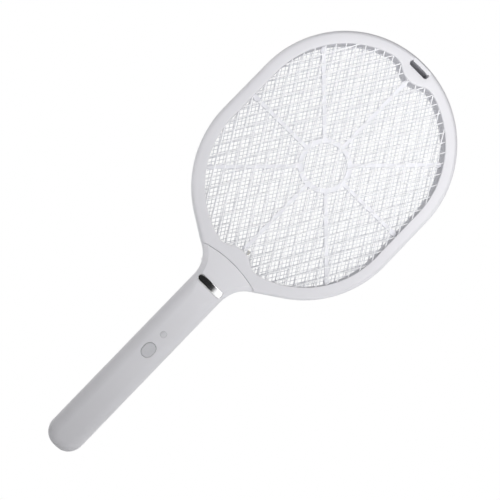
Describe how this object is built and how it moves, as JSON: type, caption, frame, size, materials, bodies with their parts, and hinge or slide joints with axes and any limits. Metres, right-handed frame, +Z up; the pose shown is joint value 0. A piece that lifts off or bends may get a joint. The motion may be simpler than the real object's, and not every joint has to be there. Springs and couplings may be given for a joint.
{
  "type": "electric fly swatter",
  "caption": "Racket-shaped rechargeable insect zapper: hollow oval ring with wire grilles round a high-voltage mesh, on a straight rounded handle with a push button.",
  "frame": {"origin": "on the handle's axis, in the middle of the grip", "axes": "+Z up the handle towards the head, +Y from the front face to the rear face, +X to the right seen from the front"},
  "size_m": [0.214, 0.0335, 0.5],
  "materials": {
    "shell_plastic": "fine satin texture, light warm grey",
    "frame_plastic": "fine satin texture, light grey",
    "badge_chrome": "polished",
    "grille_wire": "bright zinc-plated wire",
    "grid_wire": "plain drawn wire",
    "spider_plastic": "white moulded nylon",
    "spacer_plastic": "grey moulded insulator",
    "lens_plastic": "frosted light window",
    "button_rubber": "soft-touch grey",
    "knob_plastic": "ribbed, mid grey",
    "board_green": "solder mask",
    "black_plastic": "moulded black",
    "ferrite": "sintered, matt",
    "copper": "enamelled copper wire",
    "capacitor_red": "dipped resin",
    "ceramic_blue": "dipped ceramic",
    "resistor_tan": "lacquered",
    "led_clear": "clear epoxy",
    "nickel": "nickel plated",
    "cell_wrap": "shrink sleeve",
    "cradle_plastic": "moulded",
    "wire_red": "PVC insulation",
    "wire_white": "silicone insulation",
    "screw_steel": "zinc plated"
  },
  "bodies": {
    "root": {"handle_front_shell": "shell_plastic", "handle_rear_shell": "shell_plastic", "head_frame_front": "frame_plastic", "head_frame_rear": "frame_plastic", "spacer_ring": "spacer_plastic", "badge_plate": "badge_chrome", "status_lens": "lens_plastic", "tact_switch_body": "black_plastic", "slide_switch_body": "nickel", "circuit_board": "board_green", "transformer_core": "ferrite", "transformer_winding": "copper", "storage_capacitor": "capacitor_red", "multiplier_capacitors": "ceramic_blue", "rectifier_diodes": "black_plastic", "resistors": "resistor_tan", "drive_transistor": "black_plastic", "status_led": "led_clear", "charge_controller_chip": "black_plastic", "charge_socket": "nickel", "charge_socket_tongue": "black_plastic", "socket_board": "board_green", "battery_cell": "cell_wrap", "battery_cradle": "cradle_plastic", "battery_contacts": "nickel", "battery_leads": "wire_red", "grid_lead": "wire_white", "grille_lead": "wire_white", "grid_terminal": "nickel", "grille_clip": "nickel", "handle_screws": "screw_steel", "frame_screws": "screw_steel", "front_grille": "grille_wire", "rear_grille": "grille_wire", "inner_grid": "grid_wire", "spider_front": "spider_plastic", "spider_rear": "spider_plastic"},
    "button": {"push_button": "button_rubber", "switch_plunger": "black_plastic"},
    "power_knob": {"slide_switch_knob": "knob_plastic"}
  },
  "joints": [
    {"name": "button_press", "type": "slide", "parent": "root", "child": "button", "axis": [0, 1, 0], "range_m": [0, 0.0012], "stiffness_N_per_m": 1500, "springref_m": -0.0008},
    {"name": "power_slide", "type": "slide", "parent": "root", "child": "power_knob", "axis": [0, 0, 1], "range_m": [0, 0.004]}
  ]
}
